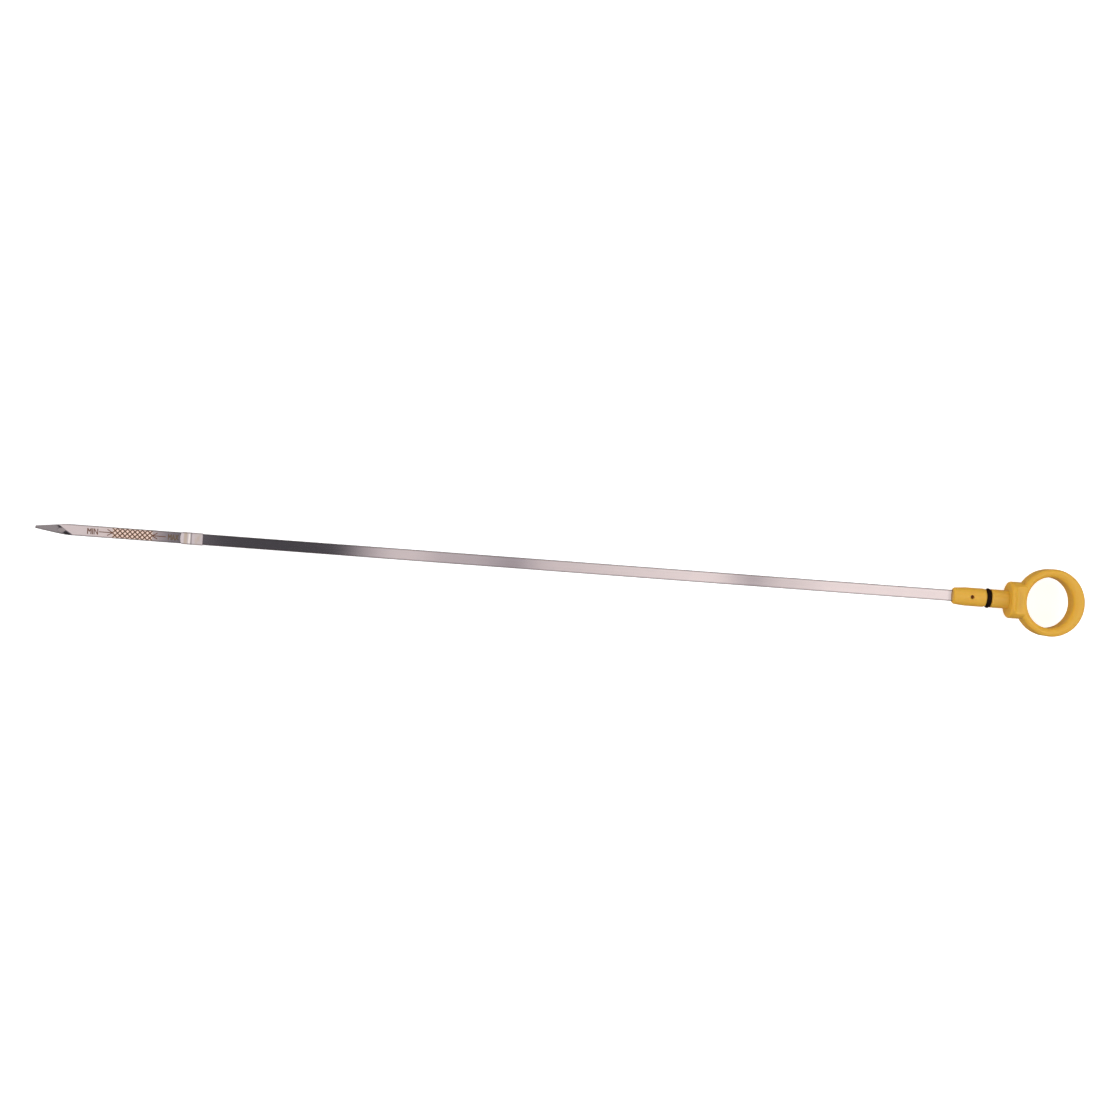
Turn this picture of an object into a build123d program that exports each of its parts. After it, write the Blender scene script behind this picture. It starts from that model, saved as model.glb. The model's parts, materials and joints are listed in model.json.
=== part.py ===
from build123d import *
from math import atan2, degrees, hypot
import os

# The dipstick lies along X with its tip towards -X. Lengths are in millimetres and angles in degrees.
# Distances along it are measured from the collar's seat, the plane that stops on the dipstick tube.

# Blade: a flat strip of spring steel
blade_reach = 437.7
blade_width = 5.0
blade_thickness = 1.0
blade_edge_radius = 0.3

# Spear point: edge distances are measured back from its blunt end, on the +Y edge and on the -Y edge
point_end_width = 1.2
point_taper_length = 13.2
point_shoulder_length = 5.0
bend_angle = 15.0
bend_start_edges = (10.2, 17.7)
bend_finish_edges = (8.6, 12.6)

# Crosshatch engraved between the two level marks: a grid of crossed cells
hatch_start = 385.4
hatch_columns = 8
hatch_rows = 2
hatch_cell_length = 2.24
hatch_cell_height = 2.15
hatch_line_width = 0.4
hatch_depth = 0.1

# Guide clip: thin sheet folded round the blade, with a crimp groove across it and a sprung bow
clip_start = 362.8
clip_length = 9.9
clip_sheet = 0.25
clip_seam_gap = 0.4
clip_groove_from_start = 5.2
clip_groove_width = 0.9
clip_groove_depth = 0.17
clip_bow_height = 0.45
clip_end_radius = 6.0

# Handle stem: the round plug that guides and seals in the tube
stem_diameter = 8.3
stem_length = 24.85
stem_nose_diameter = 7.4
stem_nose_radius = 1.2
stem_taper_length = 5.4
locating_hole_diameter = 1.8
locating_hole_distance = 16.8
locating_hole_past_tang = 0.75

# Seal ring and its groove, with a slope down to it from the stem, and the wall that closes the blade's pocket
groove_distance = 9.0
groove_width = 2.3
groove_floor_diameter = 5.2
groove_slope_length = 0.9
groove_slope_drop = 0.4
groove_edge_chamfer = 0.15
seal_section = 1.9
seal_flat = 0.05
pocket_end_wall = 1.85

# Collar and hub
collar_diameter = 16.5
collar_thickness = 1.5
collar_rim_radius = 1.1
hub_edge_radius = 0.6

# Finger ring: an oval, with its lengths along the dipstick, its widths across, and its hole nearer to the hub
ring_centre = 19.05
ring_outer_length = 29.0
ring_outer_width = 30.3
ring_depth = 11.3
ring_outer_edge_radius = 2.0
ring_hole_length = 20.8
ring_hole_width = 22.7
ring_hole_shift = 0.9
ring_hole_edge_radius = 2.6

# Spaces between the rulings along the shaped stretches of the blade's point
flat_ruling_count = 5
bend_ruling_count = 6
tip_ruling_count = 3


def half_width(from_end):
    """Half the blade's width at a distance from its blunt end: a straight taper eased into parallel edges."""
    slope = (blade_width - point_end_width) / 2 / point_taper_length
    shoulder_start = point_taper_length - point_shoulder_length / 2
    into_shoulder = min(max(from_end - shoulder_start, 0), point_shoulder_length)
    straight = min(from_end, shoulder_start + into_shoulder)
    return point_end_width / 2 + slope * (straight - into_shoulder**2 / (2 * point_shoulder_length))


def edge_point(from_end, side):
    """Point of the unbent blade's edge: side 1 is the +Y edge and side -1 the -Y edge."""
    return Vector(from_end - blade_reach, side * half_width(from_end), 0)


def fan(first, last, steps):
    """Rulings across the blade, as pairs of edge distances, spread evenly from the first to the last."""
    return [
        tuple(start + (end - start) * step / steps for start, end in zip(first, last))
        for step in range(steps + 1)
    ]


def turn_about(point, direction, angle):
    """Turn about the line through a point."""
    return Pos(point) * Location((0, 0, 0), tuple(direction), angle) * Pos(-point)


def folded_sections(rulings, placed, fold):
    """Blade sections at rulings, with the rest of the blade folded up by the same angle at each of them."""
    sections = []
    for plus_edge, minus_edge in rulings:
        plus_end = (placed * Pos(edge_point(plus_edge, 1))).position
        minus_end = (placed * Pos(edge_point(minus_edge, -1))).position
        across = plus_end - minus_end
        half_turn = turn_about(minus_end, across, fold / 2)
        face_normal = Plane(half_turn * placed).z_dir
        middle = (plus_end + minus_end) * 0.5
        section_plane = Plane(middle, x_dir=across, z_dir=across.cross(face_normal))
        outline = RectangleRounded(across.length, blade_thickness, blade_edge_radius)
        sections.append((section_plane * outline).face())
        placed = half_turn * half_turn * placed
    return sections, placed


def blade_strip(start, length, grow=0.0):
    """Straight stretch of the blade's rounded section, towards the tip, grown evenly by an allowance."""
    section = RectangleRounded(
        blade_width + 2 * grow,
        blade_thickness + 2 * grow,
        blade_edge_radius + grow,
    )
    return extrude(Plane((-start, 0, 0), x_dir=(0, 1, 0), z_dir=(-1, 0, 0)) * section, length)


def point_length():
    """Length of the formed point: past the taper's shoulder and the start of the bend."""
    shoulder_end = point_taper_length + point_shoulder_length / 2
    return max(shoulder_end, *bend_start_edges) + blade_width / 2


def blade_point():
    """Spear point: flat to an oblique conical bend, which is widest at the -Y edge, and a flat tip beyond."""
    root = (point_length(), point_length())
    blunt_end = (0.0, 0.0)
    fold = bend_angle / (bend_ruling_count + 1)
    flat_rulings = fan(root, bend_start_edges, flat_ruling_count)
    bend_rulings = fan(bend_start_edges, bend_finish_edges, bend_ruling_count)
    tip_rulings = fan(bend_finish_edges, blunt_end, tip_ruling_count)
    flat, placed = folded_sections(flat_rulings, Location(), 0)
    bend, placed = folded_sections(bend_rulings, placed, fold)
    tip, placed = folded_sections(tip_rulings, placed, 0)
    flat[-1] = bend[0]
    tip[0] = bend[-1]
    return [loft(flat, ruled=True), loft(bend), loft(tip, ruled=True)]


def hatch_length():
    """Length of the crosshatch along the blade."""
    return hatch_columns * hatch_cell_length


def hatch_lines():
    """Crossing lines through the corners of the cells, trimmed to the grid's outline."""
    slant = degrees(atan2(hatch_cell_height, hatch_cell_length))
    line = Rectangle(2 * hatch_rows * hypot(hatch_cell_length, hatch_cell_height), hatch_line_width)
    lines = [
        Pos(hatch_cell_length * (step - (hatch_columns - hatch_rows) / 2)) * Rot(0, 0, side * slant) * line
        for step in range(-hatch_rows, hatch_columns + 1)
        for side in (-1, 1)
    ]
    return (Sketch() + lines) & Rectangle(hatch_length(), hatch_rows * hatch_cell_height)


def tang_end():
    """Distance at which the blade ends inside the stem, short of the seal groove."""
    return groove_distance + groove_width / 2 + pocket_end_wall


def locating_hole():
    """Pin that leaves the blind cross hole, in from the marked side through the tang to a little past it."""
    bottom = -blade_thickness / 2 - locating_hole_past_tang
    pin = Cylinder(locating_hole_diameter / 2, 2 * stem_diameter)
    return Pos(-locating_hole_distance, 0, bottom + stem_diameter) * pin


def blade():
    """Strip with its tang, engraved crosshatch and formed point."""
    strip = blade_strip(tang_end(), blade_reach - point_length() - tang_end())
    hatch_plane = Plane((-hatch_start - hatch_length() / 2, 0, blade_thickness / 2))
    engraving = extrude(hatch_plane * hatch_lines(), -hatch_depth)
    return strip + blade_point() - engraving - locating_hole()


def guide_clip():
    """Folded clip: a wrap round the blade with a seam at the back, a crimp groove and a sprung bow."""
    face = blade_thickness / 2
    top = face + clip_sheet
    groove_x = -clip_start - clip_groove_from_start
    bow_start = groove_x - clip_groove_width / 2
    bow_length = clip_length - clip_groove_from_start - clip_groove_width / 2
    bow_width = blade_width - 2 * blade_edge_radius

    def bow(rise, width, base):
        """Shallow arch across the blade, from the groove to the clip's tip end."""
        crown = (bow_start - bow_length / 2, base + rise)
        arch = ThreePointArc((bow_start, base), crown, (bow_start - bow_length, base))
        outline = make_face([arch, Line(arch @ 1, arch @ 0)])
        return extrude(Plane.XZ * outline, width / 2, both=True)

    wrap = blade_strip(clip_start, clip_length, clip_sheet) + bow(clip_bow_height, bow_width, top)
    hollow = blade_strip(clip_start, clip_length) + bow(clip_bow_height, bow_width - 2 * clip_sheet, face)
    groove_radius = (clip_groove_width**2 / 4 + clip_groove_depth**2) / (2 * clip_groove_depth)
    groove_centre = (groove_x, 0, top - clip_groove_depth + groove_radius)
    groove = Pos(groove_centre) * Rot(90, 0, 0) * Cylinder(groove_radius, 2 * blade_width)
    seam = Pos(-clip_start - clip_length / 2, 0, -face) * Box(2 * clip_length, clip_seam_gap, 2 * clip_sheet)
    tip_end = -clip_start - clip_length
    cutter_height = 4 * (top + clip_bow_height)
    round_end = Pos(tip_end + clip_end_radius, 0, 0) * Cylinder(clip_end_radius, cutter_height)
    square_stretch = 2 * (clip_length - clip_end_radius / 2)
    square_end = Pos(-clip_start, 0, 0) * Box(square_stretch, 2 * blade_width, cutter_height)
    return (wrap & (round_end + square_end)) - hollow - groove - seam


def turned_stem():
    """Stem, seal groove and collar as one turned profile, up to inside the finger ring's wall."""
    stem_radius = stem_diameter / 2
    collar_radius = collar_diameter / 2
    floor_radius = groove_floor_diameter / 2
    groove_tip_side = -groove_distance - groove_width / 2
    groove_ring_side = -groove_distance + groove_width / 2
    hub_end = ring_centre - ring_hole_length / 2
    profile = make_face(
        Polyline(
            (-stem_length, 0),
            (-stem_length, stem_nose_diameter / 2),
            (-stem_length + stem_taper_length, stem_radius),
            (groove_tip_side - groove_slope_length, stem_radius),
            (groove_tip_side, stem_radius - groove_slope_drop),
            (groove_tip_side, floor_radius),
            (groove_ring_side, floor_radius),
            (groove_ring_side, stem_radius - groove_edge_chamfer),
            (groove_ring_side + groove_edge_chamfer, stem_radius),
            (0, stem_radius),
            (0, collar_radius),
            (hub_end, collar_radius),
            (hub_end, 0),
            close=True,
        )
    )
    rounded_corners = (
        ((-stem_length, stem_nose_diameter / 2), stem_nose_radius),
        ((0, collar_radius), collar_rim_radius),
    )
    for corner, radius in rounded_corners:
        profile = fillet(profile.vertices().sort_by_distance(corner)[0], radius)
    return revolve(profile, Axis.X)


def hub_side_view():
    """Side view that trims the turned form: full round to the collar's back, eased to the ring's depth."""
    collar_radius = collar_diameter / 2
    ring_half = ring_depth / 2
    ease = collar_radius - ring_half
    tip_side = -2 * stem_length
    ring_side = ring_centre
    ease_down = RadiusArc((collar_thickness, collar_radius), (collar_thickness + ease, ring_half), -ease)
    ease_up = RadiusArc((collar_thickness + ease, -ring_half), (collar_thickness, -collar_radius), -ease)
    upper = Polyline(ease_down @ 1, (ring_side, ring_half), (ring_side, -ring_half), ease_up @ 0)
    lower = Polyline(ease_up @ 1, (tip_side, -collar_radius), (tip_side, collar_radius), ease_down @ 0)
    return extrude(Plane.XZ * make_face([ease_down, upper, ease_up, lower]), collar_diameter, both=True)


def oval(length, width, height):
    """Upright oval block about the origin."""
    return extrude(Pos(0, 0, -height / 2) * Ellipse(length / 2, width / 2), height)


def ring_disc():
    """Finger ring before its hole is cut, with rounded outer edges."""
    disc = oval(ring_outer_length, ring_outer_width, ring_depth)
    return Pos(ring_centre, 0, 0) * fillet(disc.edges().filter_by(GeomType.ELLIPSE), ring_outer_edge_radius)


def ring_hole():
    """Core of the finger hole, flared at both faces by the rounding of the hole's edges."""
    flare = 4 * ring_hole_edge_radius
    plate = Box(ring_hole_length + flare, ring_hole_width + flare, ring_depth)
    drilled = plate - oval(ring_hole_length, ring_hole_width, 2 * ring_depth)
    drilled = fillet(drilled.edges().filter_by(GeomType.LINE, reverse=True), ring_hole_edge_radius)
    return Pos(ring_centre - ring_hole_shift, 0, 0) * (plate - drilled)


def handle():
    """One moulding: the turned stem and collar, the hub and the finger ring, with the blade's pocket."""
    core = turned_stem() & hub_side_view()
    core = fillet(core.edges().filter_by(GeomType.BSPLINE), hub_edge_radius)
    body = core + ring_disc() - ring_hole()
    pocket = blade_strip(tang_end(), stem_length)
    return body - pocket - locating_hole()


def o_ring():
    """Round-section seal ring, stretched on the groove's floor and a little flat where it sits on it."""
    floor_radius = groove_floor_diameter / 2
    middle_radius = floor_radius - seal_flat + seal_section / 2
    seal = Torus(middle_radius, seal_section / 2) - Cylinder(floor_radius, seal_section)
    return Pos(-groove_distance, 0, 0) * Rot(0, 90, 0) * seal


def resting():
    """Pitch at which the dipstick lies: on the collar's rim and on the blade where its point bends up."""
    drop = (collar_diameter - blade_thickness) / 2
    span = blade_reach - min(bend_start_edges) + collar_rim_radius
    return Rot(0, -degrees(atan2(drop, span)), 0)


def main():
    os.makedirs("parts", exist_ok=True)
    pieces = {"blade": blade(), "handle": handle(), "o_ring": o_ring(), "guide_clip": guide_clip()}
    for name, piece in pieces.items():
        export_step(resting() * piece, f"parts/{name}.step")


main()
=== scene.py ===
import json
import math
from typing import NamedTuple

import bmesh
import bpy
from bpy.props import FloatProperty, FloatVectorProperty, IntProperty, PointerProperty, StringProperty
from mathutils import Matrix, Vector


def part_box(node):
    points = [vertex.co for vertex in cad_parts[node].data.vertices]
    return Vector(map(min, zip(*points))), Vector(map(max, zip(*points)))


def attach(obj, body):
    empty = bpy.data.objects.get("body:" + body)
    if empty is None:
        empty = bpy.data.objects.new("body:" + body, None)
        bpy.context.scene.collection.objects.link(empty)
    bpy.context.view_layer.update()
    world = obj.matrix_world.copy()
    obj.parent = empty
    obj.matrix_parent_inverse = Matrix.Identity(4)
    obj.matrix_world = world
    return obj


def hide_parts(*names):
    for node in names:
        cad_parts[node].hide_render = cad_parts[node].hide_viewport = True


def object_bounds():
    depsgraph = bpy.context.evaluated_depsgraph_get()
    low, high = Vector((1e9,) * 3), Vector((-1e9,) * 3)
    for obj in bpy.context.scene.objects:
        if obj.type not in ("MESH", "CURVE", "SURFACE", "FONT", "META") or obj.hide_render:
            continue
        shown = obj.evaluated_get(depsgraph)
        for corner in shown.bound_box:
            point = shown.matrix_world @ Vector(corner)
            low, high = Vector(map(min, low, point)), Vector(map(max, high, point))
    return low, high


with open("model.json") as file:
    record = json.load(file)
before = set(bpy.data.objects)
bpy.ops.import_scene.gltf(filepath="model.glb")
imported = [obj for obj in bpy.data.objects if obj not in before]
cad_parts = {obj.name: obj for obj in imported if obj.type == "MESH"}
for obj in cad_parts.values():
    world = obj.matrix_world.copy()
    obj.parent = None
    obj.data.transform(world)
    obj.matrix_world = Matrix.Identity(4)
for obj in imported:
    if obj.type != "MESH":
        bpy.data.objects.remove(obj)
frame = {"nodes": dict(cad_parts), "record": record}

bl_info = {
    "name": "Oil dipstick looks",
    "version": (1, 0, 0),
    "blender": (4, 5, 0),
    "location": "View3D > Sidebar > Dipstick",
    "description": "Finishes, level marks and studio for a flat oil dipstick",
    "category": "Object",
}

# Places are the dipstick's own: X along the blade from the collar's seat towards the finger ring, Y across
# the blade and Z out of its marked face. The frame holds it as it lies, pitched about Y.
MM = 0.001
BODY = "root"
CAD_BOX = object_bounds()


def mount_axis(name):
    """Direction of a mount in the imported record."""
    return Vector(next(mount["axis"] for mount in frame["record"]["mounts"] if mount["name"] == name))


SEAT_AXIS = -mount_axis("tube_seat")
PITCH = math.atan2(SEAT_AXIS.z, SEAT_AXIS.x)
LYING = Matrix.Rotation(-PITCH, 4, "Y")


def own_places(node):
    """A node's points in the dipstick's own places."""
    upright = LYING.inverted()
    return [upright @ vertex.co for vertex in frame["nodes"][node].data.vertices]


# The blade is straight at least this far from the seat
STRAIGHT_REACH = 300 * MM
# Height of the marked face over the dipstick's axis
FACE = max(point.z for point in own_places("blade") if point.x > -STRAIGHT_REACH)
FLOOR = CAD_BOX[0].z
HALF_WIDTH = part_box("blade")[1].y
BLADE_TIP = min(point.x for point in own_places("blade"))
CLIP_END = max(point.x for point in own_places("guide_clip"))
STEM_NOSE = min(point.x for point in own_places("handle"))

WHITE = (1.0, 1.0, 1.0, 1.0)
BLACK = (0.0, 0.0, 0.0, 1.0)


def size_property(name, description, millimetres):
    """Length that a user may change."""
    return FloatProperty(name=name, description=description, default=millimetres * MM, unit="LENGTH")


def angle_property(name, description, degrees):
    """Angle that a user may change."""
    return FloatProperty(name=name, description=description, default=math.radians(degrees), subtype="ANGLE")


def level_property(name, description, default):
    """Brightness or strength that a user may change."""
    return FloatProperty(name=name, description=description, default=default, min=0.0)


def power_property(name, description, default):
    """Power of a light that a user may change."""
    return FloatProperty(name=name, description=description, default=default, unit="POWER")


def count_property(name, description, default):
    """Count that a user may change."""
    return IntProperty(name=name, description=description, default=default, min=1)


def colour_property(name, description, red, green, blue):
    """Linear colour that a user may change."""
    return FloatVectorProperty(
        name=name,
        description=description,
        default=(red, green, blue),
        subtype="COLOR",
        min=0.0,
        max=1.0,
    )


class MarkSizes(bpy.types.PropertyGroup):
    """Sizes of the level marks on the blade."""

    hatch_start: size_property("Hatch start", "Distance from the seat to the crosshatch's near end", 385.4)
    hatch_columns: count_property("Hatch columns", "Crossed cells along the blade", 8)
    hatch_rows: count_property("Hatch rows", "Crossed cells across the blade", 2)
    cell_length: size_property("Cell length", "Length of one crossed cell along the blade", 2.24)
    cell_height: size_property("Cell height", "Height of one crossed cell across the blade", 2.15)
    line_width: size_property("Line width", "Width of the engraved lines and arrows", 0.4)
    groove_depth: size_property("Groove depth", "Depth of the engraved crosshatch", 0.1)
    groove_fill: FloatProperty(
        name="Groove fill",
        description="Share of the groove's depth that the dark filling takes",
        default=0.8,
        subtype="FACTOR",
        min=0.0,
        max=1.0,
    )
    mark_height: size_property("Mark height", "How far arrows and letters stand out of the face", 0.008)
    arrow_length: size_property("Arrow length", "Length of a level arrow from its tail to its tip", 6.6)
    arrow_arm: size_property("Arrow arm", "Length of each arm of an arrow's open head", 3.1)
    arrow_angle: angle_property("Arrow angle", "Angle between an arrow's arm and its shaft", 30)
    arrow_overlap: size_property("Arrow overlap", "How far an arrow's tip reaches into the crosshatch", 0.45)
    letter_height: size_property("Letter height", "Height of the capital letters", 2.7)
    letter_margin: size_property("Letter margin", "How far a letter's strokes are widened each way", 0.09)
    low_word: StringProperty(name="Low word", description="Word at the low level mark", default="MIN")
    low_word_start: size_property("Low word start", "Distance from the seat to the word's near end", 409.8)
    low_word_length: size_property("Low word length", "Length of the low word", 4.95)
    high_word: StringProperty(name="High word", description="Word at the high level mark", default="MAX")
    high_word_start: size_property("High word start", "Distance from the seat to the word's near end", 373.4)
    high_word_length: size_property("High word length", "Length of the high word", 4.9)


class FinishColours(bpy.types.PropertyGroup):
    """Colours of the dipstick's finishes."""

    steel: colour_property("Steel", "Bright rolled steel of the blade", 0.85, 0.72, 0.71)
    clip: colour_property("Clip steel", "Satin pressed steel of the guide clip", 0.53, 0.46, 0.47)
    # tan of the real mottling, and of the painted warm reflection in the stripe
    clip_tan_and_reflection: colour_property("Clip tan", "Tan of the clip's stripe and mottling", 0.50, 0.385, 0.28)
    # painted highlight: near-white band on the clip before its lip
    clip_highlight: colour_property("Clip polish", "White of the polished band before the lip", 0.9, 0.82, 0.76)
    # painted shade: dark colour for the crease beside the lip and for the folded edges
    clip_shade: colour_property("Clip shade", "Dark of the crease beside the clip's lip", 0.16, 0.13, 0.13)
    mark: colour_property("Mark", "Brown of the level arrows and words", 0.10, 0.038, 0.022)
    mark_dull: colour_property("Dull mark", "Olive brown of the word at the high mark", 0.085, 0.055, 0.03)
    mark_fleck: colour_property("Mark fleck", "Paler flecks in the marking", 0.25, 0.16, 0.1)
    hatch: colour_property("Hatch", "Dark brown of the crosshatch", 0.07, 0.02, 0.008)
    heat_tint: colour_property("Heat tint", "Warm tint of the steel round the marking", 0.86, 0.64, 0.53)
    plastic: colour_property("Plastic", "Yellow of the handle", 0.59, 0.325, 0.034)
    plastic_deep: colour_property("Deep plastic", "Deeper yellow in the moulding's flow", 0.55, 0.295, 0.028)
    # painted light: the paler colour deep inside the locating hole, where shade falls
    hole: colour_property("Hole", "Paler plastic inside the locating hole", 0.95, 0.60, 0.36)
    rubber: colour_property("Rubber", "Black of the seal ring", 0.004, 0.0016, 0.0012)
    floor: colour_property("Floor", "White of the floor", 0.90, 0.90, 0.90)


class StageSizes(bpy.types.PropertyGroup):
    """Camera and studio lights."""

    aim_along: size_property("Aim along", "Place along the dipstick that the camera stands over", -204.3)
    aim_across: size_property("Aim across", "Place across the dipstick that the camera stands over", 4.85)
    camera_height: size_property("Camera height", "Height of the camera over the blade", 657)
    camera_roll: angle_property("Camera roll", "Turn of the camera about its line of sight", 4.27)
    lens: FloatProperty(name="Lens", description="Focal length in millimetres", default=47.42, min=1.0)
    softbox_height: size_property("Softbox height", "Height of the softbox over the blade", 750)
    softbox_width: size_property("Softbox width", "Width of the softbox across the blade", 2000)
    softbox_tip_end: size_property("Softbox tip end", "Place that mirrors its end past the tip", -480)
    softbox_ring_end: size_property("Softbox ring end", "Place that mirrors its end past the ring", 120)
    softbox_level: level_property("Softbox level", "Brightness of the open softbox over the seat", 1.05)
    softbox_tip_level: level_property("Softbox tip level", "Brightness of the softbox at its tip end", 0.8)
    softbox_side: colour_property("Softbox side", "Grey of the softbox's long sides", 0.33, 0.345, 0.36)
    softbox_shade: colour_property("Softbox shade", "Dark beside the darkest cloth", 0.004, 0.003, 0.005)
    room_level: level_property("Room level", "Brightness of the room", 0.1)
    fill_height: size_property("Fill height", "Height of the fill light over the seat", 712.5)
    fill_width: size_property("Fill width", "Width of the square fill light", 1600)
    fill_power: power_property("Fill power", "Power of the fill light", 3.5)
    bounce_width: size_property("Bounce width", "Width of the square light that the floor throws up", 300)
    bounce_power: power_property("Bounce power", "Power of the light that the floor throws up", 0.2)
    bounce_colour: colour_property("Bounce colour", "Warm light that the floor throws up", 1.0, 0.76, 0.45)
    side_levels: FloatVectorProperty(
        name="Side levels",
        description="Strength of the side lights from the tip, the near side, the ring and the far side",
        default=(2.3, 0.9, 2.0, 1.3),
        size=4,
        min=0.0,
    )
    side_elevation: angle_property("Side elevation", "Angle of the soft side lights over the floor", 28)
    side_spread: angle_property("Side spread", "Width of the soft side lights", 50)
    floor_length: size_property("Floor length", "Length of the square floor", 12000)
    floor_glow: level_property("Floor glow", "Glow that keeps the floor pale", 0.5)
    wall_height: size_property("Wall height", "Height of the pale walls and of the cards", 5000)
    card_distance: size_property("Card distance", "Distance of the grey cards from the seat", 4000)
    card_level: level_property("Card level", "Brightness of the cards' top", 0.75)
    card_foot: colour_property("Card foot", "Grey at the foot of the cards", 0.12, 0.12, 0.12)


class Value:
    """A shader socket that stands in Python sums: each operator adds one Math node."""

    def __init__(self, finish, socket):
        self.finish = finish
        self.socket = socket

    def __add__(self, other):
        return self.finish.math("ADD", self, other)

    def __radd__(self, other):
        return self.finish.math("ADD", other, self)

    def __sub__(self, other):
        return self.finish.math("SUBTRACT", self, other)

    def __rsub__(self, other):
        return self.finish.math("SUBTRACT", other, self)

    def __mul__(self, other):
        return self.finish.math("MULTIPLY", self, other)

    def __rmul__(self, other):
        return self.finish.math("MULTIPLY", other, self)


class Finish:
    """One material's node tree around a Principled shader."""

    def __init__(self, name, constants):
        self.material = bpy.data.materials.new(name)
        self.material.use_nodes = True
        self.tree = self.material.node_tree
        self.shader = next(node for node in self.tree.nodes if node.type == "BSDF_PRINCIPLED")
        for socket, value in constants.items():
            self.set(socket, value)

    def put(self, socket, value):
        """Give a socket a number, a colour or the link of another socket."""
        if isinstance(value, Value):
            self.tree.links.new(value.socket, socket)
        else:
            socket.default_value = value

    def node(self, kind, settings, inputs, output):
        """Add a node: its settings first, then the values or links of its sockets, by identifier."""
        node = self.tree.nodes.new(kind)
        for name, setting in settings.items():
            if name == "stops":
                ramp = node.color_ramp.elements
                while len(ramp) < len(setting):
                    ramp.new(1.0)
                for element, (position, colour) in zip(ramp, setting):
                    element.position = position
                    element.color = (*colour, 1.0)
            else:
                setattr(node, name, setting)
        sockets = {socket.identifier: socket for socket in node.inputs}
        for identifier, value in inputs.items():
            self.put(sockets[identifier], value)
        return Value(self, next(socket for socket in node.outputs if socket.identifier == output))

    def math(self, operation, first, second):
        """One Math node on two values."""
        inputs = {"Value": first, "Value_001": second}
        return self.node("ShaderNodeMath", {"operation": operation}, inputs, "Value")

    def object_places(self):
        """The object's points as its mesh holds them."""
        return self.node("ShaderNodeTexCoord", {}, {}, "Object")

    def places(self, scale=(1.0, 1.0, 1.0)):
        """The piece's points in the dipstick's own places, stretched by a scale."""
        turn = {"Vector": self.object_places(), "Rotation": (0.0, PITCH, 0.0)}
        upright = self.node("ShaderNodeMapping", {}, turn, "Vector")
        stretch = {"Vector": upright, "Vector_001": scale}
        return self.node("ShaderNodeVectorMath", {"operation": "MULTIPLY"}, stretch, "Vector")

    def axis(self, letter, places=None):
        """One coordinate of the dipstick's own places, or of other places."""
        return self.node("ShaderNodeSeparateXYZ", {}, {"Vector": places or self.places()}, letter)

    def noise(self, scale, detail=2.0):
        """Noise from 0 to 1, with a scale along, across and out of the blade, in turns a metre."""
        inputs = {"Vector": self.places(scale), "Scale": 1.0, "Detail": detail}
        return self.node("ShaderNodeTexNoise", {}, inputs, "Fac")

    def ease(self, value, low, high):
        """Smooth step from 0 at low to 1 at high."""
        inputs = {"Value": value, "From Min": low, "From Max": high}
        return self.node("ShaderNodeMapRange", {"interpolation_type": "SMOOTHSTEP"}, inputs, "Result")

    def band(self, value, low, high, soft):
        """1 between two values and 0 beyond, over a soft edge."""
        return self.ease(value, low - soft, low + soft) * (1.0 - self.ease(value, high - soft, high + soft))

    def blend(self, share, first, second):
        """Colour between two colours."""
        inputs = {"Factor_Float": share, "A_Color": first, "B_Color": second}
        return self.node("ShaderNodeMix", {"data_type": "RGBA"}, inputs, "Result_Color")

    def relief(self, height, distance):
        """Bump of a height from 0 to 1, this deep in metres."""
        inputs = {"Height": height, "Distance": distance}
        self.set("Normal", self.node("ShaderNodeBump", {}, inputs, "Normal"))

    def set(self, socket, value):
        """Feed one of the shader's sockets."""
        self.put(self.shader.inputs[socket], value)


def opaque(colour):
    """Colour with full cover."""
    return (*colour, 1.0)


def shade_of(colour, share):
    """Opaque colour with every channel multiplied by a share."""
    return opaque(tuple(min(1.0, share * channel) for channel in colour))


def hatch_ends(marks):
    """Places of the crosshatch's low and high ends along the blade."""
    high_end = -marks.hatch_start
    return high_end - marks.hatch_columns * marks.cell_length, high_end


def hatch_half(marks):
    """Half of the crosshatch's height across the blade."""
    return marks.hatch_rows * marks.cell_height / 2


# Soft edges of the marked field, along and across the blade
FIELD_EDGES = (0.4 * MM, 0.15 * MM)


def marked_field(finish, marks, along, across):
    """1 in the crosshatch's field and 0 beyond."""
    low_end, high_end = hatch_ends(marks)
    half = hatch_half(marks)
    soft_end, soft_side = FIELD_EDGES
    return finish.band(along, low_end, high_end, soft_end) * finish.band(across, -half, half, soft_side)


# How far the marking's warm tint runs past the low word, and past the crosshatch's high end
TINT_PAST_WORD = 1.2 * MM
TINT_PAST_HATCH = 7.2 * MM


def warm_run(finish, marks, along):
    """1 along the crosshatch, fading out over the marks at its ends."""
    low_end, high_end = hatch_ends(marks)
    word_end = -marks.low_word_start - marks.low_word_length
    rise = finish.ease(along, word_end - TINT_PAST_WORD, low_end)
    return rise * (1.0 - finish.ease(along, high_end, high_end + TINT_PAST_HATCH))


# How far the marking burns the steel beside its lines
BURN_MARGIN = 0.16 * MM


def burnt_lines(finish, marks, along, across):
    """1 on the crosshatch's lines, fading out beside them."""
    low_end, _ = hatch_ends(marks)
    columns = (along - low_end) * (1 / marks.cell_length)
    rows = (across + hatch_half(marks)) * (1 / marks.cell_height)
    falling = finish.math("PINGPONG", columns - rows, 0.5)
    rising = finish.math("PINGPONG", columns + rows, 0.5)
    line_gap = marks.cell_length * marks.cell_height / math.hypot(marks.cell_length, marks.cell_height)
    to_line = finish.math("MINIMUM", falling, rising) * line_gap
    half = marks.line_width / 2
    return 1.0 - finish.ease(to_line, half, half + BURN_MARGIN)


# Half width of the blade at its tip, the point's taper on the near side, and where the painted edge shade
# fades out
TIP_HALF_WIDTH = 0.609 * MM
POINT_TAPER = 0.144
EDGE_SHADE_WIDTH = (0.25 * MM, 0.75 * MM)


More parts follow.
